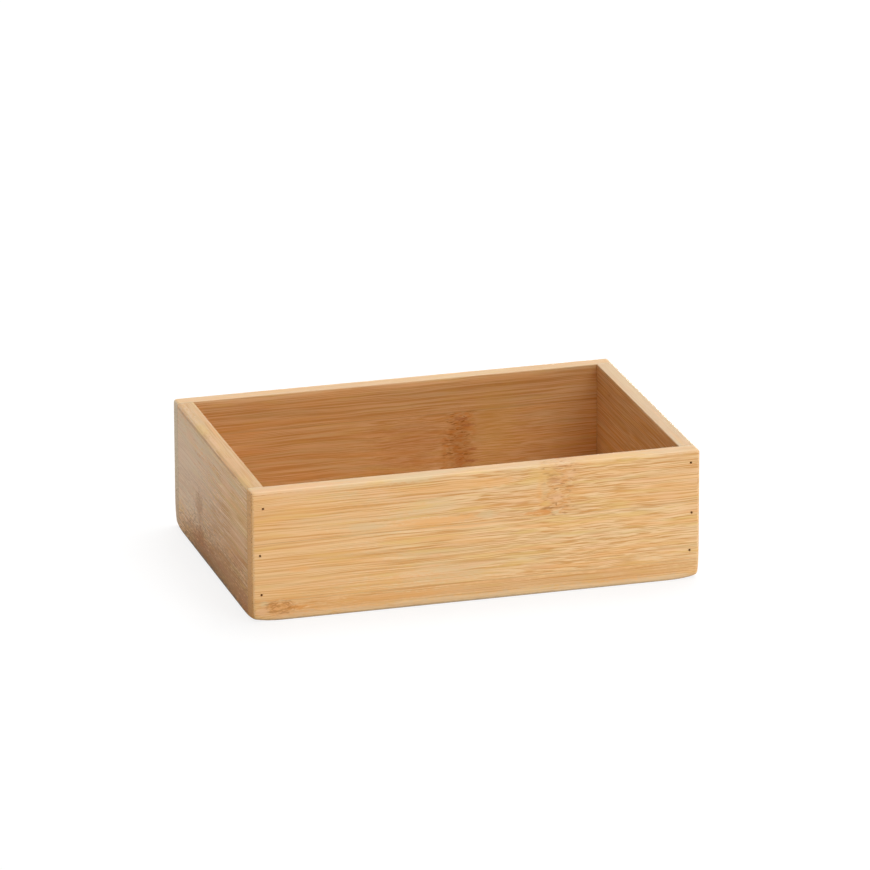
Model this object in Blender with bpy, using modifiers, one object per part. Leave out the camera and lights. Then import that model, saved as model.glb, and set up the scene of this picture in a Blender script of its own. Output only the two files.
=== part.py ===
"""Open bamboo organizer box: four wall boards butted at the corners, a floor panel let
into a groove, and twelve headless steel pins that hold the corners.

Metres, +Z up. The origin is in the middle of the box on the surface that it stands on.
+X runs along the front board to the right, +Y from the front board to the back one.
"""

import math

import bmesh
import bpy
from mathutils import Matrix, Vector

# Overall size of the box
LENGTH = 0.150
DEPTH = 0.100
HEIGHT = 0.044

# Boards
WALL_THICKNESS = 0.0055
FLOOR_THICKNESS = 0.003
FLOOR_LIFT = 0.003  # from the walls' lower edges to the groove's lower cheek

# Joints between the boards
GLUE_LINE = 0.0002  # between a side board's end and the face that it butts on
GROOVE_DEPTH = 0.0025
FLOOR_PLAY = 0.0002  # between the floor panel and each cheek of its groove
FLOOR_EXPANSION = 0.0003  # between the floor panel's edges and the groove's bottom

# Edges eased after gluing, when the whole box is sanded
CORNER_RADIUS = 0.0011
FOOT_RADIUS = 0.0012
RIM_RADIUS = 0.001
INNER_RIM_RADIUS = 0.0003
EASING_SEGMENTS = 6
INNER_RIM_STEPS = 3

# The four lower corners are rubbed down further: each is lifted and drawn in at its tip,
# and the change fades away with the cube of the distance along each edge
LOWER_CORNER_REACH = 0.013
LOWER_CORNER_LIFT = 0.0013
LOWER_CORNER_DRAW = 0.0005
LOWER_CORNER_STEPS = 5

# Headless pins, driven through the front and back boards into the side boards' end grain
PIN_DIAMETER = 0.00064
PIN_LENGTH = 0.018
PIN_POINT_LENGTH = 0.0012
PIN_POINT_RADIUS = 0.00008
PIN_HEAD_CHAMFER = 0.00006
PIN_SUNK = 0.0005  # the head's depth below the board's face
PIN_PLAY = 0.00006  # around the pin and past its point
PIN_SIDES = 16

# Where the pins of each corner sit, upper to lower. They are driven by eye, so no two
# corners are alike. A height share runs from the groove's upper cheek to the rim, and
# an inset share is of the side board's thickness, from its outer face.
PIN_LEVELS = ("upper", "middle", "lower")
FRONT_LEFT_PIN_SHARES = ((0.852, 0.70), (0.433, 0.49), (0.079, 0.56))
FRONT_RIGHT_PIN_SHARES = ((0.891, 0.57), (0.438, 0.51), (0.096, 0.62))
BACK_LEFT_PIN_SHARES = ((0.874, 0.54), (0.452, 0.58), (0.090, 0.50))
BACK_RIGHT_PIN_SHARES = ((0.866, 0.52), (0.441, 0.60), (0.085, 0.55))

# How far each cutter runs past the material that it cuts
CUT_OVERRUN = 0.002

# The least angle between two faces at an edge that the sanding eases
SHARP_ANGLE = math.radians(45)

# Sizes that follow from those above
INNER_LENGTH = LENGTH - 2 * WALL_THICKNESS
INNER_DEPTH = DEPTH - 2 * WALL_THICKNESS
GROOVE_HEIGHT = FLOOR_THICKNESS + 2 * FLOOR_PLAY
GROOVE_TOP = FLOOR_LIFT + GROOVE_HEIGHT
FLOOR_TONGUE = GROOVE_DEPTH - FLOOR_EXPANSION

# Linear colours of the pressed bamboo on each board, and of the pins
FRONT_BAMBOO = (0.75, 0.45, 0.18)
BACK_BAMBOO = (0.66, 0.37, 0.15)
SIDE_BAMBOO = (0.60, 0.37, 0.19)
FLOOR_BAMBOO = (0.68, 0.40, 0.17)
PIN_STEEL = (0.25, 0.24, 0.23)
BAMBOO_ROUGHNESS = 0.55
STEEL_ROUGHNESS = 0.4


def clear_scene():
    for obj in list(bpy.data.objects):
        bpy.data.objects.remove(obj, do_unlink=True)


def new_collection(name):
    collection = bpy.data.collections.new(name)
    bpy.context.scene.collection.children.link(collection)
    return collection


def new_material(name, colour, roughness, metallic):
    material = bpy.data.materials.new(name)
    material.diffuse_color = (*colour, 1)
    material.use_nodes = True
    shader = material.node_tree.nodes["Principled BSDF"]
    shader.inputs["Base Color"].default_value = (*colour, 1)
    shader.inputs["Roughness"].default_value = roughness
    shader.inputs["Metallic"].default_value = metallic
    return material


def mesh_from(name, bm):
    mesh = bpy.data.meshes.new(name)
    bm.to_mesh(mesh)
    bm.free()
    return mesh


def add_object(name, mesh, collection, parent=None, material=None):
    obj = bpy.data.objects.new(name, mesh)
    collection.objects.link(obj)
    obj.parent = parent
    if material:
        mesh.materials.append(material)
    return obj


def add_cutter(name, mesh):
    cutter = add_object(name, mesh, cutters)
    cutter.hide_render = True
    cutter.display_type = "WIRE"
    return cutter


def box_mesh(name, size):
    bm = bmesh.new()
    bmesh.ops.create_cube(bm, size=1, matrix=Matrix.Diagonal((*size, 1)))
    return mesh_from(name, bm)


def add_board(name, low, high, colour):
    """A board between two corners, with its origin in its middle."""
    low, high = Vector(low), Vector(high)
    material = new_material(name + "_bamboo", colour, BAMBOO_ROUGHNESS, 0)
    board = add_object(name, box_mesh(name, high - low), boards, organizer, material)
    board.location = (low + high) / 2
    return board


def boolean(obj, operation, cutter):
    modifier = obj.modifiers.new(cutter.name, "BOOLEAN")
    modifier.operation = operation
    modifier.object = cutter


def sanded_outline():
    """The whole box as one block, with its outer edges eased by sanding. The block is
    sliced near its lower corners first, so that they can be rubbed down in a curve."""
    bm = bmesh.new()
    standing = Matrix.Translation((0, 0, HEIGHT / 2))
    bmesh.ops.create_cube(bm, size=1, matrix=standing @ Matrix.Diagonal((LENGTH, DEPTH, HEIGHT, 1)))
    for step in range(1, LOWER_CORNER_STEPS + 1):
        reach = LOWER_CORNER_REACH * step / LOWER_CORNER_STEPS
        for side in (-1, 1):
            slice_block(bm, Vector((side * (LENGTH / 2 - reach), 0, 0)))
            slice_block(bm, Vector((0, side * (DEPTH / 2 - reach), 0)))
        slice_block(bm, Vector((0, 0, reach)))

    widest = max(CORNER_RADIUS, FOOT_RADIUS, RIM_RADIUS)
    weights = bm.edges.layers.float.new("bevel_weight_edge")
    for edge in bm.edges:
        if edge.calc_face_angle() > SHARP_ANGLE:
            edge[weights] = edge_radius(edge) / widest
    outline = add_cutter("sanded_outline", mesh_from("sanded_outline", bm))
    easing = outline.modifiers.new("easing", "BEVEL")
    easing.limit_method = "WEIGHT"
    easing.width = widest
    easing.segments = EASING_SEGMENTS

    bm = bmesh.new()
    bm.from_object(outline, bpy.context.evaluated_depsgraph_get())
    for vert in bm.verts:
        rub_down(vert)
    bmesh.ops.triangulate(bm, faces=bm.faces)
    bm.to_mesh(outline.data)
    bm.free()
    outline.modifiers.clear()
    return outline


def slice_block(bm, place):
    """Cuts the block's faces across at a place on one of its axes, which is the normal."""
    everything = [*bm.verts, *bm.edges, *bm.faces]
    bmesh.ops.bisect_plane(bm, geom=everything, plane_co=place, plane_no=place.normalized())


def edge_radius(edge):
    heights = [vert.co.z for vert in edge.verts]
    if heights[0] != heights[1]:
        return CORNER_RADIUS
    return RIM_RADIUS if heights[0] > HEIGHT / 2 else FOOT_RADIUS


def rub_down(vert):
    """Moves a vertex near a lower corner of the block up and in."""
    near_x = nearness(LENGTH / 2 - abs(vert.co.x))
    near_y = nearness(DEPTH / 2 - abs(vert.co.y))
    share = near_x * near_y * nearness(vert.co.z)
    vert.co.x -= math.copysign(LOWER_CORNER_DRAW * share, vert.co.x)
    vert.co.y -= math.copysign(LOWER_CORNER_DRAW * share, vert.co.y)
    vert.co.z += LOWER_CORNER_LIFT * share


def nearness(distance):
    """1 at a corner, falling to 0 at the reach of the rubbing."""
    return max(0, 1 - distance / LOWER_CORNER_REACH) ** 3


def floor_groove():
    """One slab cuts the groove in all four walls: it stops short of the front and back
    boards' ends, and runs out of the side boards' ends, where those boards cover it."""
    size = (INNER_LENGTH + 2 * GROOVE_DEPTH, INNER_DEPTH + 2 * GROOVE_DEPTH, GROOVE_HEIGHT)
    groove = add_cutter("floor_groove", box_mesh("floor_groove", size))
    groove.location.z = FLOOR_LIFT + GROOVE_HEIGHT / 2
    return groove


def inner_rim_easing():
    """A plug for the mouth of the well whose sides flare out in a quarter round, so that
    it rounds the walls' inner rim and mitres the rounding in the corners."""
    plug_low = HEIGHT - INNER_RIM_RADIUS - CUT_OVERRUN
    sections = [(-CUT_OVERRUN, plug_low)]
    for step in range(INNER_RIM_STEPS + 1):
        angle = math.radians(90) * step / INNER_RIM_STEPS
        outwards = INNER_RIM_RADIUS * (1 - math.cos(angle))
        sections.append((outwards, HEIGHT - INNER_RIM_RADIUS * (1 - math.sin(angle))))
    sections.append((INNER_RIM_RADIUS + CUT_OVERRUN, HEIGHT + CUT_OVERRUN))

    bm = bmesh.new()
    rings = []
    for outwards, height in sections:
        half_length = INNER_LENGTH / 2 + outwards
        half_depth = INNER_DEPTH / 2 + outwards
        corners = ((-1, -1), (1, -1), (1, 1), (-1, 1))
        rings.append([bm.verts.new((x * half_length, y * half_depth, height)) for x, y in corners])
    for lower, upper in zip(rings, rings[1:]):
        for i in range(len(lower)):
            j = (i + 1) % len(lower)
            bm.faces.new((lower[i], lower[j], upper[j], upper[i]))
    bm.faces.new(rings[0][::-1])
    bm.faces.new(rings[-1])
    return add_cutter("inner_rim_easing", mesh_from("inner_rim_easing", bm))


def pin_places():
    """Name, head centre and facing (-1 front, 1 back) of each pin."""
    corners = {
        "front_left": (-1, -1, FRONT_LEFT_PIN_SHARES),
        "front_right": (1, -1, FRONT_RIGHT_PIN_SHARES),
        "back_left": (-1, 1, BACK_LEFT_PIN_SHARES),
        "back_right": (1, 1, BACK_RIGHT_PIN_SHARES),
    }
    places = []
    for corner, (side, facing, shares) in corners.items():
        for level, (height_share, inset_share) in zip(PIN_LEVELS, shares):
            x = side * (LENGTH / 2 - inset_share * WALL_THICKNESS)
            y = facing * (DEPTH / 2 - PIN_SUNK)
            z = GROOVE_TOP + height_share * (HEIGHT - GROOVE_TOP)
            places.append((f"{corner}_{level}_pin", Vector((x, y, z)), facing))
    return places


def turn_to_face(facing):
    """The angle about X that turns +Z to point out of the front or the back board."""
    return -facing * math.radians(90)


def pin_holes():
    """Twelve holes in one cutter, each open at the face and a little deeper than its pin."""
    outside = PIN_SUNK + CUT_OVERRUN
    length = outside + PIN_LENGTH + PIN_PLAY
    bm = bmesh.new()
    for _, head, facing in pin_places():
        outwards = Matrix.Rotation(turn_to_face(facing), 4, "X")
        middle = Matrix.Translation((0, 0, outside - length / 2))
        bmesh.ops.create_cone(
            bm,
            cap_ends=True,
            segments=PIN_SIDES,
            radius1=PIN_DIAMETER / 2 + PIN_PLAY,
            radius2=PIN_DIAMETER / 2 + PIN_PLAY,
            depth=length,
            matrix=Matrix.Translation(head) @ outwards @ middle,
        )
    return add_cutter("pin_holes", mesh_from("pin_holes", bm))


def pin_mesh(material):
    """Half the pin's outline, from the middle of its head down to the middle of its point."""
    radius = PIN_DIAMETER / 2
    outline = [
        (0, 0),
        (radius - PIN_HEAD_CHAMFER, 0),
        (radius, -PIN_HEAD_CHAMFER),
        (radius, PIN_POINT_LENGTH - PIN_LENGTH),
        (PIN_POINT_RADIUS, -PIN_LENGTH),
        (0, -PIN_LENGTH),
    ]
    bm = bmesh.new()
    verts = [bm.verts.new((x, 0, z)) for x, z in outline]
    for upper, lower in zip(verts, verts[1:]):
        bm.edges.new((upper, lower))
    mesh = mesh_from("pin", bm)
    mesh.materials.append(material)
    return mesh


def add_pins(carriers):
    steel = new_material("pin_steel", PIN_STEEL, STEEL_ROUGHNESS, 1)
    mesh = pin_mesh(steel)
    for name, head, facing in pin_places():
        carrier = carriers[facing]
        pin = add_object(name, mesh, boards, carrier)
        pin.location = head - carrier.location
        pin.rotation_euler.x = turn_to_face(facing)
        turning = pin.modifiers.new("turning", "SCREW")
        turning.steps = PIN_SIDES
        turning.render_steps = PIN_SIDES
        turning.use_merge_vertices = True
        turning.merge_threshold = 0.000001
        turning.use_smooth_shade = True


def add_walls():
    outer_x, outer_y = LENGTH / 2 + CUT_OVERRUN, DEPTH / 2 + CUT_OVERRUN
    inner_x, inner_y = INNER_LENGTH / 2, INNER_DEPTH / 2
    side_end = inner_y - GLUE_LINE
    foot, rim = -CUT_OVERRUN, HEIGHT + CUT_OVERRUN
    front = add_board("front_board", (-outer_x, -outer_y, foot), (outer_x, -inner_y, rim), FRONT_BAMBOO)
    back = add_board("back_board", (-outer_x, inner_y, foot), (outer_x, outer_y, rim), BACK_BAMBOO)
    left = add_board("left_board", (-outer_x, -side_end, foot), (-inner_x, side_end, rim), SIDE_BAMBOO)
    right = add_board("right_board", (inner_x, -side_end, foot), (outer_x, side_end, rim), SIDE_BAMBOO)

    outline, groove, easing, holes = sanded_outline(), floor_groove(), inner_rim_easing(), pin_holes()
    for board in (front, back, left, right):
        boolean(board, "INTERSECT", outline)
        boolean(board, "DIFFERENCE", groove)
        boolean(board, "DIFFERENCE", easing)
        boolean(board, "DIFFERENCE", holes)
    return {-1: front, 1: back}


def add_floor():
    reach_x = INNER_LENGTH / 2 + FLOOR_TONGUE
    reach_y = INNER_DEPTH / 2 + FLOOR_TONGUE
    under = FLOOR_LIFT + FLOOR_PLAY
    over = under + FLOOR_THICKNESS
    add_board("floor_panel", (-reach_x, -reach_y, under), (reach_x, reach_y, over), FLOOR_BAMBOO)


clear_scene()
boards = new_collection("bathroom_organizer")
cutters = new_collection("cutters")
organizer = add_object("organizer", None, boards)
add_pins(add_walls())
add_floor()
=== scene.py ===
import math
from dataclasses import dataclass
from functools import reduce

import bmesh
import bpy
from mathutils import Matrix, Vector


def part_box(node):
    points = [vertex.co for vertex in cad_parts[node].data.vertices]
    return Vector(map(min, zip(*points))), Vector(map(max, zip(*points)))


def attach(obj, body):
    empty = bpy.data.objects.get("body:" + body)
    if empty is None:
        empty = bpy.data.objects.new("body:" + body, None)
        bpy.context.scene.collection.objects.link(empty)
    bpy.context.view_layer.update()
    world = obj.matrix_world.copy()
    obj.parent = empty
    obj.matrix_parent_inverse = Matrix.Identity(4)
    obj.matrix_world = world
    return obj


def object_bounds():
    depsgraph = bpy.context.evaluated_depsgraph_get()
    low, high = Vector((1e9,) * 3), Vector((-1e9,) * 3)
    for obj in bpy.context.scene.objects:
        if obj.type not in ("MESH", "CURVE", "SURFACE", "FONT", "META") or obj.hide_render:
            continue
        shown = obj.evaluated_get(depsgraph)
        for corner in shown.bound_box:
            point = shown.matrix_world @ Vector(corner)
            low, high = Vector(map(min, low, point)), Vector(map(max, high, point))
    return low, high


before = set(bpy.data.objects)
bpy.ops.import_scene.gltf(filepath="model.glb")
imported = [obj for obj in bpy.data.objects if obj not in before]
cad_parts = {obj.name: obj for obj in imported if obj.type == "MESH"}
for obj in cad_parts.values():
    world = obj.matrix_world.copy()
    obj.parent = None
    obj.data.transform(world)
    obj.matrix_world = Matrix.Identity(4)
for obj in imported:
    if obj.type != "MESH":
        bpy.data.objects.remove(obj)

# Looks of an open box of pressed bamboo: four boards, a floor panel and twelve steel pins,
# with the dried glue in its corners.
# Metres, +Z up. +X runs along the front board to the right, +Y from front to back.
# The patterns of the finishes are written in millimetres. A fade is a pair: where a pattern
# is still absent, and where it shows in full.

cad_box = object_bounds()

MM = 0.001

# The camera stands two and a half metres away, in front of the box and to its left, and
# looks down at it through a long lens
CAMERA_YAW = 0.2815
CAMERA_PITCH = 0.3261
CAMERA_ROLL = -0.0035
CAMERA_DISTANCE = 2.54137
CAMERA_SIDESTEP = 0.00019
CAMERA_RISE = 0.03804
CAMERA_LENS = 320.70
CAMERA_SENSOR = 36

# Light levels: a level of 1 shows a matt colour as it is written
SKY_LEVEL = 0.28

# Softboxes: name, place, width, height, and the level that each gives a surface facing it
SOFTBOXES = (
    ("overhead", (0.28, 0.32, 1.15), 0.9, 0.9, 0.775),
    ("front_high", (0.5, -0.9, 0.75), 0.6, 0.6, 0.18),
    ("front_card", (0.1, -1.0, 0.04), 1.4, 0.08, 0.5),
    ("left_card", (-1.0, 0.2, 0.04), 1.2, 0.08, 0.25),
    ("right_card", (1.0, -0.1, 0.04), 1.2, 0.08, 0.5),
    ("back_card", (0.35, 0.9, 0.04), 1.2, 0.08, 0.45),
)

# The studio floor: how pale it is to the light that it sends back onto the box, how pale
# in a gloss, and how the camera sees it: part lit and part glowing, so that it is white
# but keeps a soft shadow
FLOOR_HALF_WIDTH = 4
FLOOR_PALE = 0.4
FLOOR_PALE_IN_GLOSS = 0.7
FLOOR_PALE_TO_CAMERA = 0.22
FLOOR_GLOW_TO_CAMERA = 0.82

# Colours, linear. Each board's straw, and its sawn ends, run from a deep tone to a pale one
FRONT_STRAW = ((0.617, 0.30, 0.082), (0.843, 0.625, 0.325))
BACK_STRAW = ((0.61, 0.27, 0.08), (0.86, 0.62, 0.33))
LEFT_STRAW = ((0.56, 0.24, 0.07), (0.80, 0.495, 0.225))
# The right board's straw is deeper, partly painted shade
RIGHT_STRAW_AND_SHADE = ((0.41, 0.185, 0.06), (0.67, 0.43, 0.215))
FLOOR_STRAW = ((0.60, 0.30, 0.08), (0.82, 0.62, 0.31))
LINE_BROWN = (0.58, 0.24, 0.035)
LINE_PALE = (0.88, 0.60, 0.33)
ORANGE_TINT = (0.80, 0.40, 0.12)
HONEY_TINT = (0.73, 0.47, 0.13)
GREEN_TINT = (0.68, 0.50, 0.26)
ROSE_TINT = (0.79, 0.46, 0.235)
# A painted sheen, grey
SHEEN_GREY_TINT = (0.73, 0.54, 0.385)
# Knuckle colours. The red and the brown also paint shade low on the left face
KNUCKLE_ORANGE = (0.68, 0.28, 0.055)
KNUCKLE_AND_SHADE_RED = (0.50, 0.17, 0.06)
KNUCKLE_AND_SHADE_BROWN = (0.40, 0.14, 0.012)
KNUCKLE_TAN = (0.62, 0.31, 0.11)
KNUCKLE_PALE = (0.86, 0.66, 0.38)
SEAM_BROWN = (0.45, 0.24, 0.09)
# Pale of sanded wear; also a painted sheen on the rims and high on the left face, and a painted
# highlight on the front's foot
WEAR_AND_SHEEN_PALE = (0.69, 0.54, 0.345)
RIM_HONEY = (0.60, 0.34, 0.11)
WARM_END = ((0.57, 0.275, 0.085), (0.77, 0.42, 0.15))
# The back board's sawn end is greyer, partly a painted sheen
GREY_END_AND_SHEEN = ((0.58, 0.42, 0.26), (0.77, 0.62, 0.44))
END_DOT = (0.30, 0.14, 0.05)
# Dirt, which on the lower edges also paints contact shadow
DIRT_AND_CONTACT_SHADE = (0.17, 0.12, 0.08)
# Painted shade, brown
PAINTED_SHADE_BROWN = (0.16, 0.07, 0.025)
PIN_RUST = (0.24, 0.085, 0.01)
PIN_STEEL = (0.13, 0.04, 0.004)
GLUE_DARK = (0.30, 0.16, 0.055)
GLUE_AMBER = (0.50, 0.29, 0.11)

# Which of a board's axes is which
ALONG, ACROSS, THROUGH = range(3)

# Strips that the boards are glued up from. Each is cut from its own part of a stem, within
# this length and this depth
STRIP_WIDTH = 19.7
STEM_LENGTH = 400
STEM_DEPTH = 40
SEAM_FADE = (0.22, 0.04)
SEAM_SHARE = 0.35

# Knuckles: how their sides wobble, how they fade (in half widths) and end at a seam, the
# ridge along one side, and how far they stir the fibres beside them
WOBBLE_SIZE = 2.5
WOBBLE = 5
KNUCKLE_FADE = (1.25, 0.35)
KNUCKLE_END = 0.5
RIDGE_PLACE = 0.85
RIDGE_SHARPNESS = 2.5
STIR_FADE = (55, 6)

# Waves in the fibres: their length and width, and how far they push the fibres across.
# A curl pushes them in depth too
SWING_WAVE = (26, 9)
SWING = 1.3
RIPPLE_WAVE = (6, 4)
RIPPLE = 0.1
RIPPLE_NEAR_KNUCKLE = 0.55
CURL_WAVE = (2.8, 1.6)
CURL = 0.9
CURL_DEPTH = 0.6

# Eyes: how far out they pull the fibres together, in half sizes, and how strongly
EYE_FADE = (1.1, 0)
EYE_PULL = 0.75

# Streaks along the fibres. The offset reads the pattern at another depth, so that no two
# patterns are alike
BANDS = {"length": 70, "width": 3.4}
STRIPES = {"length": 60, "width": 1.2}
EVEN_LINES = {"length": 90, "width": 0.44}
UNEVEN_LINES = {"length": 13, "width": 0.35, "offset": 60}
CURLED_LINES = {"length": 5, "width": 0.34, "offset": 140}
LONG_HAIRS = {"length": 34, "width": 0.27}
SHORT_HAIRS = {"length": 9, "width": 0.27, "offset": 160}
BUNDLE_ROWS = {"length": 60, "width": 1.4, "detail": 0, "offset": 100}
BUNDLE_GAPS = {"length": 40, "width": 2.2, "detail": 0, "offset": 120}
WARM_PATCHES = {"length": 26, "width": 2.4, "offset": 40}
RUDDY_PATCHES = {"length": 16, "width": 1.7, "offset": 80}
BLOTCHES = {"length": 3, "width": 1.2}
PALE_CURLS = {"length": 2.2, "width": 0.6, "detail": 0, "offset": 20}
FLECKS = {"length": 3, "width": 0.42}
RAGGED_ENDS = {"length": 3, "width": 0.8, "detail": 2, "roughness": 0.6}
FINE_RAGGED_ENDS = {"length": 1.6, "width": 0.3, "offset": 180}
RING_BREAKS = {"length": 1.8, "width": 0.5, "offset": 200}

# Fibre bundles: the half width of a row, the gaps in it, and their cells, which show as
# dots on a sawn end
ROW_FADE = (0.06, 0)
ROW_GAP_FADE = (-0.1, 0.15)
BUNDLE_LENGTH = 22
BUNDLE_WIDTH = 0.85
BUNDLE_FADE = (0.34, 0.08)

# How strongly each pattern shows in the straw, and what sanding leaves of it on the rim
BAND_TONE = 0.5
STRIPE_TONE = 0.34
STRIP_TONE = 0.2
MIDDLE_TONE = 0.5
LINE_CONTRAST = 2.7
HAIR_CONTRAST = 17
LINE_CONTRAST_STIRRED = 1.2
HAIR_CONTRAST_STIRRED = 12
CURLED_LINE_CONTRAST = 1.3
ROW_CONTRAST = 1.2
LINE_BALANCE = 0.2
DARK_LINE_FADE = (0, -1.2)
DARK_LINE_SHARE = 0.75
PALE_LINE_FADE = (0, 1.2)
PALE_LINE_SHARE = 0.6
UPWARD_FADE = (0.3, 0.9)
RIM_SMOOTHING = 0.5

# Soft patches in the straw: their streaks, and each tint's fade and share
PATCHES = (
    (WARM_PATCHES, ((ORANGE_TINT, (0, 0.24), 0.48), (GREEN_TINT, (0, -0.24), 0.45))),
    (RUDDY_PATCHES, ((ROSE_TINT, (0.04, 0.26), 0.5), (HONEY_TINT, (-0.04, -0.26), 0.5))),
)

# What shows in a knuckle, and how strongly
KNUCKLE_TAN_SHARE = 0.25
BLOTCH_FADE = (-0.1, 0.15)
BLOTCH_SHARE = 0.5
BLOTCH_SHARE_ON_RIDGE = 0.3
PALE_CURL_FADE = (0.03, 0.16)
PALE_CURL_SHARE = 0.2
FLECK_FADE = (0.09, 0.17)
FLECK_SHARE = 0.7

# Single marks: how ragged they are, how they fade, in half sizes, and the half depth in
# which they fade inside the board
MARK_RAGGEDNESS = 1.6
MARK_FADE = (1.35, 0.45)
MARK_HALF_DEPTH = 1

# Rings round an eye: the shares of its half length and half height that make a radius of 1,
# how broken the rings are, and the radius, half width and share of each
RING_UNIT_SHARES = (0.6, 0.5)
RING_BREAKAGE = 1.7
RING_FADE = (1, 0.3)
RINGS = ((0.9, 0.26, 0.5), (1.5, 0.2, 0.3))

# Sanded edges, the rust round the pins, and the sawn ends, darker towards their feet
EDGE_PATCH = 2.5
EDGE_RAGGEDNESS = 1.2
EDGE_FADE = (1.2, 0.1)
STAIN_RAGGEDNESS = 0.6
STAIN_FADE = (0.6, 0.25)
STAIN_SHARE = 0.45
END_FADE = (0.5, 0.85)
PITH_FADE = (-0.3, 0.3)
DOT_SHARE = 0.8
FOOT_DARKENING_RAGGEDNESS = 10
FOOT_DARKENING_FADE = (22, 1)
FOOT_DARKENING_SHARE = 0.35

# Relief of the bamboo under its lacquer: how strongly each pattern is felt
STRIPE_RELIEF = 0.4
LINE_RELIEF = 0.8
BUNDLE_RELIEF = 0.5
SEAM_RELIEF = 0.8
FLECK_RELIEF = 0.4
BAMBOO_BUMP = 0.1
BAMBOO_RELIEF_HEIGHT = 0.04
LACQUER_ROUGHNESS = 0.46
LINE_ROUGHNESS = 0.15
END_ROUGHNESS = 0.15

# Pins
PIN_PATCH = 0.12
PIN_RUST_FADE = (-0.1, 0.2)
PIN_RUST_SHARE = 0.5
PIN_BUMP = 0.4
PIN_RELIEF_HEIGHT = 0.02
PIN_ROUGHNESS = 0.6
PIN_SHINE = 0.05

# Glue in the corners
GLUE_PATCH = 1.5
GLUE_FADE = (-0.2, 0.2)
GLUE_BUMP = 0.3
GLUE_RELIEF_HEIGHT = 0.03
GLUE_ROUGHNESS = 0.35

# Patches in the finish of the pins and the glue
PATCH_DETAIL = 3
PATCH_ROUGHNESS = 0.3

# How far the glue is held back from the edges of a joint, and off the boards, in metres
GLUE_INSET = 0.0001
GLUE_CLEARANCE = 0.00003

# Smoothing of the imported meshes
WELD_DISTANCE = 0.000001
SMOOTH_ANGLE = math.radians(40)


class Socket:
    """An output socket, so that maths on a pattern reads as a sum in Python."""

    def __init__(self, recipe, socket):
        self.recipe = recipe
        self.socket = socket

    def maths(self, operation, *others):
        inputs = dict(enumerate((self, *others)))
        return self.recipe.node("ShaderNodeMath", {"operation": operation}, inputs)

    def __add__(self, other):
        return self.maths("ADD", other)

    def __sub__(self, other):
        return self.maths("SUBTRACT", other)

    def __rsub__(self, other):
        return self * -1 + other

    def __mul__(self, other):
        return self.maths("MULTIPLY", other)

    def __truediv__(self, other):
        return self.maths("DIVIDE", other)

    __radd__ = __add__
    __rmul__ = __mul__

    def size(self):
        return self.maths("ABSOLUTE")

    def most(self, other):
        return self.maths("MAXIMUM", other)

    def least(self, other):
        return self.maths("MINIMUM", other)

    def floor(self):
        return self.maths("FLOOR")

    def fade(self, absent, full):
        """0 at the absent level and 1 at the full one, with a soft step between them."""
        settings = {"interpolation_type": "SMOOTHSTEP"}
        inputs = {"Value": self, "From Min": absent, "From Max": full}
        return self.recipe.node("ShaderNodeMapRange", settings, inputs)


class Recipe:
    """A node tree, and the few kinds of node that its patterns are made of."""

    def __init__(self, holder):
        holder.use_nodes = True
        self.holder = holder
        self.tree = holder.node_tree
        self.tree.nodes.clear()

    def node(self, kind, settings=None, inputs=None, output=0):
        made = self.tree.nodes.new(kind)
        for name, value in (settings or {}).items():
            setattr(made, name, value)
        for key, value in (inputs or {}).items():
            if isinstance(value, Socket):
                self.tree.links.new(value.socket, made.inputs[key])
            else:
                made.inputs[key].default_value = value
        return Socket(self, made.outputs[output]) if made.outputs else None

    def vector(self, x, y, z):
        return self.node("ShaderNodeCombineXYZ", inputs={"X": x, "Y": y, "Z": z})

    def parts(self, vector):
        split = self.node("ShaderNodeSeparateXYZ", inputs={"Vector": vector})
        return [Socket(self, output) for output in split.socket.node.outputs]

    def position(self):
        """X, Y and Z of a point on the piece, in millimetres."""
        point = self.node("ShaderNodeTexCoord", output="Object")
        return [part / MM for part in self.parts(point)]

    def noise(self, vector, detail=2, roughness=0.5):
        """Smooth noise about zero."""
        inputs = {"Vector": vector, "Scale": 1, "Detail": detail, "Roughness": roughness}
        return self.node("ShaderNodeTexNoise", inputs=inputs) - 0.5

    def patches(self, size, detail=PATCH_DETAIL):
        """Noise about zero in patches of a size in millimetres."""
        return self.noise(self.vector(*(part / size for part in self.position())), detail)

    def distance(self, one, other):
        settings = {"operation": "DISTANCE"}
        return self.node("ShaderNodeVectorMath", settings, {0: one, 1: other}, "Value")

    def mix(self, share, low, high):
        """From the low colour to the high one as share goes from 0 to 1."""
        low, high = (c if isinstance(c, Socket) else (*c, 1) for c in (low, high))
        # Its socket names repeat for numbers, vectors and colours, so the colours' go by number
        inputs = {0: share, 6: low, 7: high}
        return self.node("ShaderNodeMix", {"data_type": "RGBA"}, inputs, 2)

    def surface(self, colour, roughness, relief, strength, height, others=None):
        """Ends the recipe. Its relief has a height in millimetres."""
        inputs = {"Strength": strength, "Distance": height * MM, "Height": relief}
        bump = self.node("ShaderNodeBump", inputs=inputs)
        inputs = {"Base Color": colour, "Roughness": roughness, "Normal": bump}
        inputs.update(others or {})
        shader = self.node("ShaderNodeBsdfPrincipled", inputs=inputs)
        self.node("ShaderNodeOutputMaterial", inputs={"Surface": shader})
        return self.holder


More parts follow.
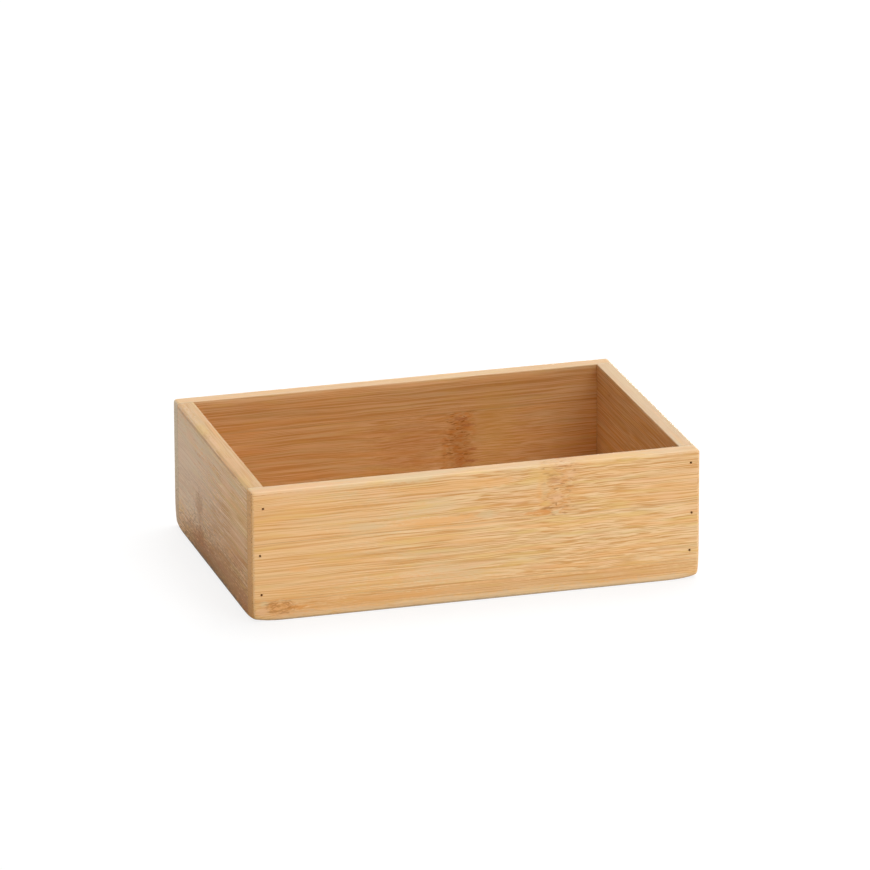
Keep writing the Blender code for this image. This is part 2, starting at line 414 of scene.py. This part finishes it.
@dataclass
class Board:
    """Which way a board's fibres run, where its strips meet, and what grew in them.

    Axes: along the fibres, across them on the board's face, and through the board. The
    seam is one place across the fibres where strips meet. Tint, grain and wear are how
    strongly patches, lines and sanded edges show. Rim is a colour and its share on faces
    that look up; a pale rim is partly worn and partly a painted sheen. End is the deep and
    the pale tone of a sawn end.
    """

    name: str
    axes: str
    seed: float
    seam: float
    straw: tuple
    tint: float
    grain: float
    wear: float
    rim: tuple
    end: tuple
    knuckles: tuple
    eyes: tuple = ()
    marks: tuple = ()

    def index(self, which):
        """The number of the axis that runs along, across or through the board."""
        return "XYZ".index(self.axes[which])

    def pins(self):
        """Middles of the pins that are driven through this board, along and across it."""
        corner = self.name.replace("board", "")
        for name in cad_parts:
            if name.startswith(corner) and name.endswith("_pin"):
                low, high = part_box(name)
                middle = (low + high) / 2 / MM
                yield middle[self.index(ALONG)], middle[self.index(ACROSS)]


def strongest(masks):
    return reduce(Socket.most, masks)


class Bamboo(Recipe):
    """Pressed bamboo: strips glued edge to edge, with their fibres, knuckles and marks."""

    def __init__(self, board):
        super().__init__(bpy.data.materials.new(board.name + "_bamboo"))
        self.board = board
        self.place = self.position()
        self.along, self.across, self.through = (
            self.place[board.index(which)] for which in (ALONG, ACROSS, THROUGH)
        )
        self.face = self.vector(self.along, self.across, 0)
        self.normal = self.parts(self.node("ShaderNodeTexCoord", output="Normal"))
        self.upward = self.normal[2].fade(*UPWARD_FADE)
        self.cut_strips()
        self.find_knuckles()
        self.bend_fibres()
        self.grow_fibres()

    def cut_strips(self):
        """Each strip comes from another part of a stem, so it has its own pattern."""
        lane = (self.across - self.board.seam) / STRIP_WIDTH
        strip = lane.floor()
        in_strip = lane - strip
        self.to_seam = in_strip.least(1 - in_strip) * STRIP_WIDTH
        settings = {"noise_dimensions": "1D"}
        inputs = {"W": strip + self.board.seed}
        dice = self.node("ShaderNodeTexWhiteNoise", settings, inputs, "Color")
        self.cast, shift, depth = self.parts(dice)
        self.stem = self.along + shift * STEM_LENGTH
        self.depth = self.through + depth * STEM_DEPTH

    def find_knuckles(self):
        """Masks of the knuckles, of the ridge in each, and of the stirred fibres beside them."""
        knuckles = []
        ridges = []
        stirred = []
        for at, low, high, half_width, lean, strength in self.board.knuckles:
            wobble = self.noise(self.vector(self.across / WOBBLE_SIZE, self.board.seed + at, 0))
            leaning = (self.across - (low + high) / 2) * lean
            side = self.along - at - leaning + wobble * WOBBLE
            away = side.size()
            above = self.across.fade(low - KNUCKLE_END, low + KNUCKLE_END)
            below = self.across.fade(high + KNUCKLE_END, high - KNUCKLE_END)
            inside = above * below
            knuckles.append((away / half_width).fade(*KNUCKLE_FADE) * inside * strength)
            from_ridge = (side / half_width + RIDGE_PLACE).size() * RIDGE_SHARPNESS
            ridges.append(from_ridge.fade(1, 0) * inside * strength)
            stirred.append(away.fade(*STIR_FADE) * inside)
        self.knuckle = strongest(knuckles)
        self.ridge = strongest(ridges)
        self.stirred = strongest(stirred)

    def wave(self, length, width):
        """Noise about zero in the strip, before its fibres bend."""
        return self.noise(self.vector(self.stem / length, self.across / width, self.depth / width))

    def bend_fibres(self):
        """Fibres swing gently along the board, ripple near a knuckle and curl inside it."""
        ripple = self.wave(*RIPPLE_WAVE) * (self.stirred * RIPPLE_NEAR_KNUCKLE + RIPPLE)
        curl = self.wave(*CURL_WAVE) * self.knuckle
        bend = self.wave(*SWING_WAVE) * SWING + ripple + curl * CURL
        for at, level, half_length, half_height in self.board.eyes:
            pull = self.spot(at, level, half_length, half_height).fade(*EYE_FADE)
            bend = bend + (level - self.across) * pull * EYE_PULL
        self.wavy = self.across + bend
        self.wavy_depth = self.depth + curl * CURL_DEPTH

    def spot(self, at, level, half_length, half_height):
        """0 in the middle of an oval on the board's face, and 1 at its edge."""
        shape = (1 / half_length, 1 / half_height, 0)
        inputs = {0: self.face, 1: shape}
        scaled = self.node("ShaderNodeVectorMath", {"operation": "MULTIPLY"}, inputs)
        return self.distance(scaled, (at / half_length, level / half_height, 0))

    def streaks(self, length, width, detail=1, roughness=0.5, offset=0):
        """Noise about zero, drawn out along the fibres."""
        depth = self.wavy_depth / width + offset
        place = self.vector(self.stem / length, self.wavy / width, depth)
        return self.noise(place, detail, roughness)

    def grow_fibres(self):
        """Long even fibres away from the knuckles, and short uneven ones beside them."""
        self.bands = self.streaks(**BANDS)
        self.stripes = self.streaks(**STRIPES)
        even = self.streaks(**EVEN_LINES)
        beside = even + (self.streaks(**UNEVEN_LINES) - even) * self.stirred
        curled = self.streaks(**CURLED_LINES) * CURLED_LINE_CONTRAST
        self.lines = beside + (curled - beside) * self.knuckle.least(1)
        long_hairs = self.streaks(**LONG_HAIRS)
        self.hairs = long_hairs + (self.streaks(**SHORT_HAIRS) - long_hairs) * self.stirred
        rows = self.streaks(**BUNDLE_ROWS).size().fade(*ROW_FADE)
        self.rows = rows * self.streaks(**BUNDLE_GAPS).fade(*ROW_GAP_FADE)
        cells = self.vector(
            self.stem / BUNDLE_LENGTH, self.wavy / BUNDLE_WIDTH, self.wavy_depth / BUNDLE_WIDTH
        )
        inputs = {"Vector": cells, "Scale": 1}
        bundle = self.node("ShaderNodeTexVoronoi", {}, inputs, "Distance")
        self.bundles = bundle.fade(*BUNDLE_FADE)

    def straw(self):
        """Deep to pale straw in bands and stripes, with fine lines, and the rim's own tone on top,
        which on a pale rim is partly wear and partly a painted sheen.
        """
        cast = (self.cast - 0.5) * STRIP_TONE
        tone = self.bands * BAND_TONE + self.stripes * STRIPE_TONE + cast + MIDDLE_TONE
        colour = self.mix(tone, *self.board.straw)
        fine = self.lines * LINE_CONTRAST + self.hairs * HAIR_CONTRAST
        in_stirred = self.lines * LINE_CONTRAST_STIRRED + self.hairs * HAIR_CONTRAST_STIRRED
        fine = fine + self.stirred * in_stirred - self.rows * ROW_CONTRAST + LINE_BALANCE
        grain = (1 - self.upward * RIM_SMOOTHING) * self.board.grain
        dark = fine.fade(*DARK_LINE_FADE) * DARK_LINE_SHARE * grain
        colour = self.mix(dark, colour, LINE_BROWN)
        pale = fine.fade(*PALE_LINE_FADE) * PALE_LINE_SHARE * grain
        colour = self.mix(pale, colour, LINE_PALE)
        # Faces that look up take the rim's tone; a pale one is partly wear and partly a painted
        # sheen
        rim_tone, share = self.board.rim
        return self.mix(self.upward * share, colour, rim_tone)

    def tinted(self, colour):
        """Long soft patches that are more orange, green, rose or honey than the rest."""
        for streaks, tints in PATCHES:
            patch = self.streaks(**streaks)
            for tint, fade, share in tints:
                colour = self.mix(patch.fade(*fade) * share * self.board.tint, colour, tint)
        return colour

    def knuckled(self, colour):
        """Orange blotches and short brown flecks where a knuckle was planed flat."""
        colour = self.mix(self.knuckle * KNUCKLE_TAN_SHARE, colour, KNUCKLE_TAN)
        where = self.knuckle * BLOTCH_SHARE + self.ridge * BLOTCH_SHARE_ON_RIDGE
        blotches = self.streaks(**BLOTCHES).fade(*BLOTCH_FADE) * where
        colour = self.mix(blotches, colour, KNUCKLE_ORANGE)
        curls = self.streaks(**PALE_CURLS).fade(*PALE_CURL_FADE) * self.knuckle
        colour = self.mix(curls * PALE_CURL_SHARE, colour, KNUCKLE_PALE)
        flecks = self.streaks(**FLECKS).fade(*FLECK_FADE)
        self.flecks = flecks * self.knuckle.most(self.ridge)
        return self.mix(self.flecks * FLECK_SHARE, colour, KNUCKLE_AND_SHADE_BROWN)

    def marked(self, colour):
        """Single marks with ragged ends, on the face that looks forward or to the left. Some are
        painted shade, sheen and highlight.
        """
        ends = self.streaks(**RAGGED_ENDS) + self.streaks(**FINE_RAGGED_ENDS)
        ragged = ends * MARK_RAGGEDNESS
        axis = self.board.index(THROUGH)
        low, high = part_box(self.board.name)
        middle = (low[axis] + high[axis]) / 2 / MM
        on_face = self.through.fade(middle + MARK_HALF_DEPTH, middle - MARK_HALF_DEPTH)
        for tint, at, level, half_length, half_height, share in self.board.marks:
            mark = (self.spot(at, level, half_length, half_height) + ragged).fade(*MARK_FADE)
            colour = self.mix(mark * on_face * share, colour, tint)
        return colour

    def ringed(self, colour):
        """Broken brown rings round each eye, where a bud once grew."""
        breaks = self.streaks(**RING_BREAKS) * RING_BREAKAGE
        length_share, height_share = RING_UNIT_SHARES
        for at, level, half_length, half_height in self.board.eyes:
            unit = (half_length * length_share, half_height * height_share)
            out = self.spot(at, level, *unit) + breaks
            for radius, half_width, share in RINGS:
                ring = ((out - radius).size() / half_width).fade(*RING_FADE)
                colour = self.mix(ring * share, colour, KNUCKLE_AND_SHADE_BROWN)
        return colour

    def seamed(self, colour):
        """A thin dark line of glue between strips."""
        self.seam = self.to_seam.fade(*SEAM_FADE)
        return self.mix(self.seam * SEAM_SHARE, colour, SEAM_BROWN)

    def worn(self, colour):
        """Sanded edges are paler. A board counts as long as the box, so no joint is an edge."""
        low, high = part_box(self.board.name)
        axis = self.board.index(ALONG)
        low[axis], high[axis] = cad_box[0][axis], cad_box[1][axis]
        sides = zip(self.place, low / MM, high / MM)
        a, b, c = ((part - least).least(most - part) for part, least, most in sides)
        # On a side one of the three gaps is 0, so the second smallest leads to the edge
        to_edge = a.least(b).most(a.most(b).least(c))
        ragged = self.patches(EDGE_PATCH, detail=2) * EDGE_RAGGEDNESS
        edge = (to_edge + ragged).fade(*EDGE_FADE)
        return self.mix(edge * self.board.wear, colour, WEAR_AND_SHEEN_PALE)

    def stained(self, colour):
        """A ring of rust in the fibres round each pin."""
        ragged = self.lines * STAIN_RAGGEDNESS
        for at, level in self.board.pins():
            ring = (self.distance(self.face, (at, level, 0)) + ragged).fade(*STAIN_FADE)
            colour = self.mix(ring * STAIN_SHARE, colour, PIN_RUST)
        return colour

    def ended(self, colour):
        """Across a sawn end the fibre bundles show as dots, and it is darker towards its foot."""
        self.end = self.normal[self.board.index(ALONG)].size().fade(*END_FADE)
        pith = self.mix(self.lines.fade(*PITH_FADE), *self.board.end)
        pith = self.mix(self.bundles * DOT_SHARE, pith, END_DOT)
        darker_foot = (self.place[2] + self.bands * FOOT_DARKENING_RAGGEDNESS).fade(*FOOT_DARKENING_FADE)
        pith = self.mix(darker_foot * FOOT_DARKENING_SHARE, pith, KNUCKLE_AND_SHADE_BROWN)
        return self.mix(self.end, colour, pith)

    def lacquered(self, colour):
        """A thin matt lacquer that lets the fibres be felt."""
        raised = self.stripes * STRIPE_RELIEF + self.lines * LINE_RELIEF
        sunk = self.bundles * BUNDLE_RELIEF + self.seam * SEAM_RELIEF + self.flecks * FLECK_RELIEF
        ends = self.end * END_ROUGHNESS
        roughness = LACQUER_ROUGHNESS - self.lines * LINE_ROUGHNESS + ends
        strength = BAMBOO_BUMP * self.board.grain
        return self.surface(colour, roughness, raised - sunk, strength, BAMBOO_RELIEF_HEIGHT)


def bamboo(board):
    """A board's finish: what grew in the bamboo first, then what was done to it."""
    made = Bamboo(board)
    colour = made.straw()
    grown = (made.tinted, made.knuckled, made.marked, made.ringed)
    built = (made.seamed, made.worn, made.stained, made.ended)
    for step in grown + built:
        colour = step(colour)
    return made.lacquered(colour)


def wire_steel():
    """Drawn wire, dark and dull where it was cut off."""
    made = Recipe(bpy.data.materials.new("pin_steel"))
    patches = made.patches(PIN_PATCH)
    colour = made.mix(patches.fade(*PIN_RUST_FADE) * PIN_RUST_SHARE, PIN_STEEL, PIN_RUST)
    roughness = PIN_ROUGHNESS + patches * PATCH_ROUGHNESS
    shine = {"Specular IOR Level": PIN_SHINE}
    return made.surface(colour, roughness, patches, PIN_BUMP, PIN_RELIEF_HEIGHT, shine)


def dried_glue():
    """Wood glue, amber with darker patches."""
    made = Recipe(bpy.data.materials.new("corner_glue"))
    patches = made.patches(GLUE_PATCH)
    colour = made.mix(patches.fade(*GLUE_FADE), GLUE_DARK, GLUE_AMBER)
    roughness = GLUE_ROUGHNESS + patches * PATCH_ROUGHNESS
    return made.surface(colour, roughness, patches, GLUE_BUMP, GLUE_RELIEF_HEIGHT)


def show(name, data):
    """A new object in the scene."""
    made = bpy.data.objects.new(name, data)
    bpy.context.scene.collection.objects.link(made)
    return made


def add_glue(side, end, material):
    """The film of glue in a corner: the side board's end outline, held back from its edges."""
    side_low, side_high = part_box(side + "_board")
    if end == "front":
        start, stop = side_low.y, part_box("front_board")[1].y
    else:
        start, stop = side_high.y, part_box("back_board")[0].y
    film = bmesh.new()
    film.from_mesh(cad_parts[side + "_board"].data)
    bmesh.ops.remove_doubles(film, verts=film.verts, dist=WELD_DISTANCE)
    elsewhere = [
        face for face in film.faces
        if any(abs(vert.co.y - start) > WELD_DISTANCE for vert in face.verts)
    ]
    bmesh.ops.delete(film, geom=elsewhere, context="FACES")
    border = bmesh.ops.inset_region(
        film, faces=film.faces, thickness=GLUE_INSET, use_even_offset=True
    )
    bmesh.ops.delete(film, geom=border["faces"], context="FACES")
    clearance = math.copysign(GLUE_CLEARANCE, stop - start)
    bmesh.ops.translate(film, verts=film.verts, vec=(0, clearance, 0))
    pressed = bmesh.ops.extrude_face_region(film, geom=film.faces)["geom"]
    far = [item for item in pressed if isinstance(item, bmesh.types.BMVert)]
    bmesh.ops.translate(film, verts=far, vec=(0, stop - start - 2 * clearance, 0))
    bmesh.ops.recalc_face_normals(film, faces=film.faces)
    mesh = bpy.data.meshes.new(f"{end}_{side}_glue")
    film.to_mesh(mesh)
    film.free()
    mesh.materials.append(material)
    piece = show(mesh.name, mesh)
    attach(piece, "root")


def dress(node, material):
    """Gives a node its finish, and shades it smooth across its eased edges."""
    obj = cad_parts[node]
    mesh = obj.data
    mesh.attributes.remove(mesh.attributes["custom_normal"])
    mesh.shade_smooth()
    obj.material_slots[0].material = material
    weld = obj.modifiers.new("weld", "WELD")
    weld.merge_threshold = WELD_DISTANCE
    corners = obj.modifiers.new("corners", "EDGE_SPLIT")
    corners.split_angle = SMOOTH_ANGLE
    corners.use_edge_sharp = False
    flats = obj.modifiers.new("flats", "WEIGHTED_NORMAL")
    flats.keep_sharp = True


def add_camera():
    east, north = math.sin(CAMERA_YAW), math.cos(CAMERA_YAW)
    level = math.cos(CAMERA_PITCH)
    ahead = Vector((east * level, north * level, -math.sin(CAMERA_PITCH)))
    right = Matrix.Rotation(CAMERA_ROLL, 3, -ahead) @ Vector((north, -east, 0))
    up = right.cross(ahead)
    data = bpy.data.cameras.new("camera")
    data.lens = CAMERA_LENS
    data.sensor_width = CAMERA_SENSOR
    camera = show("camera", data)
    axes = Matrix((right, up, -ahead)).transposed().to_4x4()
    place = right * CAMERA_SIDESTEP + up * CAMERA_RISE - ahead * CAMERA_DISTANCE
    camera.matrix_world = Matrix.Translation(place) @ axes
    bpy.context.scene.camera = camera


def add_softbox(name, place, width, height, level):
    """A rectangular lamp facing the box, with the level that it gives a surface facing it."""
    place = Vector(place)
    data = bpy.data.lights.new(name, "AREA")
    data.shape = "RECTANGLE"
    data.size = width
    data.size_y = height
    data.energy = level * (math.pi * place.length) ** 2
    lamp = show(name, data)
    lamp.location = place
    lamp.rotation_euler = place.to_track_quat("Z", "Y").to_euler()


def add_sky():
    """White to the camera and in a gloss, and dimmer as a light on the box."""
    world = bpy.data.worlds.new("studio")
    bpy.context.scene.world = world
    sky = Recipe(world)
    camera = sky.node("ShaderNodeLightPath", output="Is Camera Ray")
    seen = camera.most(sky.node("ShaderNodeLightPath", output="Is Glossy Ray"))
    strength = seen * (1 - SKY_LEVEL) + SKY_LEVEL
    inputs = {"Color": (1, 1, 1, 1), "Strength": strength}
    light = sky.node("ShaderNodeBackground", inputs=inputs)
    sky.node("ShaderNodeOutputWorld", inputs={"Surface": light})


def add_floor():
    half = FLOOR_HALF_WIDTH
    corners = [(-half, -half, 0), (half, -half, 0), (half, half, 0), (-half, half, 0)]
    mesh = bpy.data.meshes.new("studio_floor")
    mesh.from_pydata(corners, [], [(0, 1, 2, 3)])
    paper = Recipe(bpy.data.materials.new("studio_paper"))
    camera = paper.node("ShaderNodeLightPath", output="Is Camera Ray")
    glossy = paper.node("ShaderNodeLightPath", output="Is Glossy Ray")
    pale = paper.mix(glossy, (FLOOR_PALE,) * 3, (FLOOR_PALE_IN_GLOSS,) * 3)
    pale = paper.mix(camera, pale, (FLOOR_PALE_TO_CAMERA,) * 3)
    matt = paper.node("ShaderNodeBsdfDiffuse", inputs={"Color": pale})
    glow = paper.node("ShaderNodeEmission", inputs={"Strength": camera * FLOOR_GLOW_TO_CAMERA})
    shader = paper.node("ShaderNodeAddShader", inputs={0: matt, 1: glow})
    paper.node("ShaderNodeOutputMaterial", inputs={"Surface": shader})
    mesh.materials.append(paper.holder)
    floor = show("studio_floor", mesh)


# Knuckles: place along the board, the strip's lower and upper edge, half width, lean and
# strength. Eyes: place along and across, half length and half height. Marks: a tint, the
# same four and a share
BOARDS = (
    Board(
        name="front_board", axes="XZY", seed=3, seam=6.8,
        straw=FRONT_STRAW, tint=1, grain=1, wear=0.3, rim=(WEAR_AND_SHEEN_PALE, 0.32), end=WARM_END,
        knuckles=(
            (27.5, 26.6, 46, 6.2, 0.15, 1),
            (40, 6.8, 26.6, 5, 0.1, 0.12),
            (-65, -13, 6.8, 4.2, 0, 0.9),
        ),
        eyes=((-65.4, 4.7, 5, 3),),
        marks=(
            # A warmer cast
            (ORANGE_TINT, -75, 22, 50, 40, 0.34),
            (ORANGE_TINT, 0, 0, 130, 10, 0.3),
            # The lower edge: a darker band, a pale foot that is worn and also a painted highlight,
            # and dirt with painted contact shadow
            (KNUCKLE_AND_SHADE_BROWN, 12, 4.4, 100, 2, 0.2),
            (WEAR_AND_SHEEN_PALE, 0, 0, 150, 2.6, 0.42),
            (DIRT_AND_CONTACT_SHADE, 0, 0, 78, 0.8, 0.3),
            # The rim
            (ROSE_TINT, -62, 44, 14, 1.6, 0.5),
            (GREEN_TINT, -23, 44, 9, 1.6, 0.7),
            (HONEY_TINT, 45, 44, 12, 1.6, 0.3),
            # Streaks in the straw
            (ORANGE_TINT, 21.6, 35.5, 1.6, 8, 0.35),
            (ORANGE_TINT, -14, 28.7, 15, 1.3, 0.6),
            (ORANGE_TINT, 6, 39.8, 7, 1.7, 0.5),
            (ORANGE_TINT, -59.6, 17.0, 3.8, 0.9, 0.6),
            (ORANGE_TINT, -59.5, 4.2, 4, 0.8, 0.6),
            (ORANGE_TINT, -28, 4.6, 22, 1.3, 0.45),
            (GREEN_TINT, 26.1, 27.6, 1.4, 0.7, 0.6),
            (HONEY_TINT, 22.8, 30.9, 1.8, 1, 0.5),
            (GREEN_TINT, -37, 29, 7, 1.4, 0.55),
            (GREEN_TINT, 3, 29.2, 3.5, 1.2, 0.6),
            # In the large knuckle
            (GREEN_TINT, 22.4, 36, 1.1, 3.5, 0.35),
            (HONEY_TINT, 22, 41, 6, 3, 0.4),
            (ROSE_TINT, 26.4, 32.8, 2.4, 1.1, 0.7),
            (KNUCKLE_TAN, 25.8, 33.3, 1.6, 0.5, 0.6),
            (KNUCKLE_TAN, 25.8, 38.6, 2, 1.3, 0.8),
            (ROSE_TINT, 30.8, 40, 2.2, 1.2, 0.5),
            (KNUCKLE_ORANGE, 19.6, 28.1, 4.6, 0.6, 0.7),
            (KNUCKLE_ORANGE, 22.6, 28, 1.6, 0.8, 0.8),
            (KNUCKLE_AND_SHADE_BROWN, 23.6, 29.3, 1.8, 0.4, 0.8),
            (KNUCKLE_AND_SHADE_BROWN, 27.4, 29.1, 2.6, 0.25, 0.45),
            (KNUCKLE_AND_SHADE_BROWN, 25.5, 30.7, 1, 0.25, 0.6),
            (KNUCKLE_AND_SHADE_BROWN, 26.4, 30.2, 0.3, 0.6, 0.7),
            (KNUCKLE_AND_SHADE_BROWN, 25, 40.3, 1.5, 0.3, 0.5),
            (KNUCKLE_AND_SHADE_BROWN, 25.6, 39, 1.4, 0.25, 0.4),
            (KNUCKLE_AND_SHADE_RED, 26.8, 38.4, 1.5, 0.25, 0.35),
            (KNUCKLE_AND_SHADE_RED, 27.5, 37.6, 1.8, 0.3, 0.3),
            (KNUCKLE_AND_SHADE_BROWN, 28.5, 43, 2.6, 0.3, 0.5),
            (KNUCKLE_AND_SHADE_BROWN, 32.6, 41.3, 0.4, 0.3, 0.4),
            (KNUCKLE_AND_SHADE_BROWN, 23, 41.1, 1.2, 0.4, 0.4),
            # Round the eye
            (KNUCKLE_ORANGE, -66.4, 4.6, 6, 2.4, 0.28),
            (GREEN_TINT, -71, 6.2, 1.4, 0.9, 0.6),
            (ROSE_TINT, -72, 3.7, 2.4, 1.2, 0.6),
            (KNUCKLE_AND_SHADE_BROWN, -68.6, 6.1, 2, 0.35, 0.5),
            (KNUCKLE_AND_SHADE_BROWN, -66.2, 5.1, 0.6, 0.4, 0.5),
            (KNUCKLE_AND_SHADE_BROWN, -63.8, 6.1, 1.3, 0.3, 0.5),
            (KNUCKLE_AND_SHADE_BROWN, -67.8, 3.3, 2, 0.3, 0.6),
            (KNUCKLE_AND_SHADE_BROWN, -64.6, 2.6, 1.4, 0.25, 0.45),
            (KNUCKLE_AND_SHADE_BROWN, -62.3, 4, 1, 0.5, 0.5),
            (KNUCKLE_ORANGE, -60, 4, 3, 0.7, 0.7),
            (KNUCKLE_PALE, -65.4, 6.9, 1, 0.3, 0.5),
        ),
    ),
    Board(
        name="back_board", axes="XZY", seed=11, seam=12.1,
        # Its sawn end is greyer, partly a painted sheen
        straw=BACK_STRAW, tint=0.7, grain=0.8, wear=0.3, rim=(WEAR_AND_SHEEN_PALE, 0.25), end=GREY_END_AND_SHEEN,
        knuckles=((21.5, 12.1, 31.8, 5.2, 0.1, 1.45),),
        marks=(
            # Round the knuckle
            (KNUCKLE_AND_SHADE_RED, 6, 22, 14, 9, 0.22),
            (HONEY_TINT, 34, 27, 8, 14, 0.3),
            (KNUCKLE_AND_SHADE_RED, 22, 29.4, 2.6, 0.7, 0.6),
            (KNUCKLE_AND_SHADE_RED, 25, 26.8, 2.2, 0.5, 0.6),
            (KNUCKLE_AND_SHADE_RED, 26, 18.3, 1.8, 0.6, 0.7),
            (KNUCKLE_AND_SHADE_RED, 26, 14.2, 2, 0.5, 0.7),
            (KNUCKLE_AND_SHADE_BROWN, 21.8, 20, 4.2, 11, 0.3),
            (KNUCKLE_AND_SHADE_RED, 21.4, 14, 1.8, 4, 0.2),
        ),
    ),
    Board(
        name="left_board", axes="YZX", seed=23, seam=4.5,
        straw=LEFT_STRAW, tint=1.4, grain=2.8, wear=0.1, rim=(RIM_HONEY, 0.6), end=WARM_END,
        knuckles=((15.5, 4.5, 24.2, 3.4, 0, 1.3),),
        marks=(
            # Greyer at the back, a painted sheen, and warmer in front
            (SHEEN_GREY_TINT, 42, 25, 50, 21, 0.6),
            (ORANGE_TINT, -30, 6, 18, 5, 0.4),
            # Painted shade, darker and redder low down and towards the front, and darker marks in
            # the knuckle
            (KNUCKLE_AND_SHADE_BROWN, 22, 2, 18, 8, 0.42),
            (KNUCKLE_AND_SHADE_BROWN, -14, 1, 60, 10, 0.5),
            (KNUCKLE_AND_SHADE_BROWN, -30, 16, 45, 22, 0.24),
            (KNUCKLE_AND_SHADE_BROWN, 17, 17.5, 4.5, 4, 0.48),
            (KNUCKLE_AND_SHADE_RED, 15, 5.5, 10, 2.5, 0.4),
            (KNUCKLE_AND_SHADE_RED, -42, 4, 15, 3, 0.4),
            (KNUCKLE_AND_SHADE_RED, -8, 6, 18, 1.5, 0.25),
            (KNUCKLE_AND_SHADE_BROWN, 15, 8, 5, 3, 0.4),
            (KNUCKLE_AND_SHADE_RED, -32, 15, 7, 2.5, 0.35),
            (PAINTED_SHADE_BROWN, -12, 6.5, 46, 8, 0.24),
            (PAINTED_SHADE_BROWN, -10, 19, 55, 8, 0.12),
            (PAINTED_SHADE_BROWN, 6, 3, 30, 2.5, 0.2),
            # Pale and rosy streaks higher up, and under the rim a pale band that is a painted
            # sheen
            (HONEY_TINT, -4, 42, 36, 2, 0.2),
            (HONEY_TINT, -34, 31, 18, 6, 0.25),
            (WEAR_AND_SHEEN_PALE, 14, 40.5, 36, 3.5, 0.35),
            (ROSE_TINT, 27, 38, 6, 2, 0.6),
            (ROSE_TINT, -18, 36, 6, 4, 0.5),
            (ROSE_TINT, -32, 23, 9, 3, 0.4),
            # The line under the rim
            (KNUCKLE_AND_SHADE_BROWN, 0, 42.8, 48, 0.5, 0.6),
            # The rim
            (HONEY_TINT, 16, 44.5, 6, 2, 0.6),
            (ROSE_TINT, 2, 44.5, 7, 2, 0.5),
            (HONEY_TINT, -38, 44.5, 6, 2, 0.5),
            (ROSE_TINT, -20, 44.5, 8, 2, 0.4),
            # Dirt and painted contact shadow on the lower edge
            (DIRT_AND_CONTACT_SHADE, 0, 0, 54, 2, 0.9),
        ),
    ),
    Board(
        name="right_board", axes="YZX", seed=37, seam=12.5,
        # Its straw is deeper, partly painted shade
        straw=RIGHT_STRAW_AND_SHADE, tint=0.5, grain=0.8, wear=0.2, rim=(WEAR_AND_SHEEN_PALE, 0.5), end=WARM_END,
        knuckles=((-20, 12.5, 32.2, 5, -0.1, 0.9),),
        marks=(
            # A single fleck
            (KNUCKLE_AND_SHADE_BROWN, 30.5, 37.3, 0.6, 0.45, 0.7),
        ),
    ),
    Board(
        name="floor_panel", axes="XYZ", seed=51, seam=3,
        straw=FLOOR_STRAW, tint=0.6, grain=1, wear=0.2, rim=(WEAR_AND_SHEEN_PALE, 0), end=WARM_END,
        knuckles=((-30, 3, 22.7, 5, 0.1, 1), (41, -36.4, -16.7, 5, -0.1, 1)),
    ),
)

for board in BOARDS:
    dress(board.name, bamboo(board))
steel = wire_steel()
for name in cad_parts:
    if name.endswith("_pin"):
        dress(name, steel)
glue = dried_glue()
for end in ("front", "back"):
    for side in ("left", "right"):
        add_glue(side, end, glue)

add_camera()
add_sky()
add_floor()
for softbox in SOFTBOXES:
    add_softbox(*softbox)
bpy.context.scene.view_settings.view_transform = "Standard"
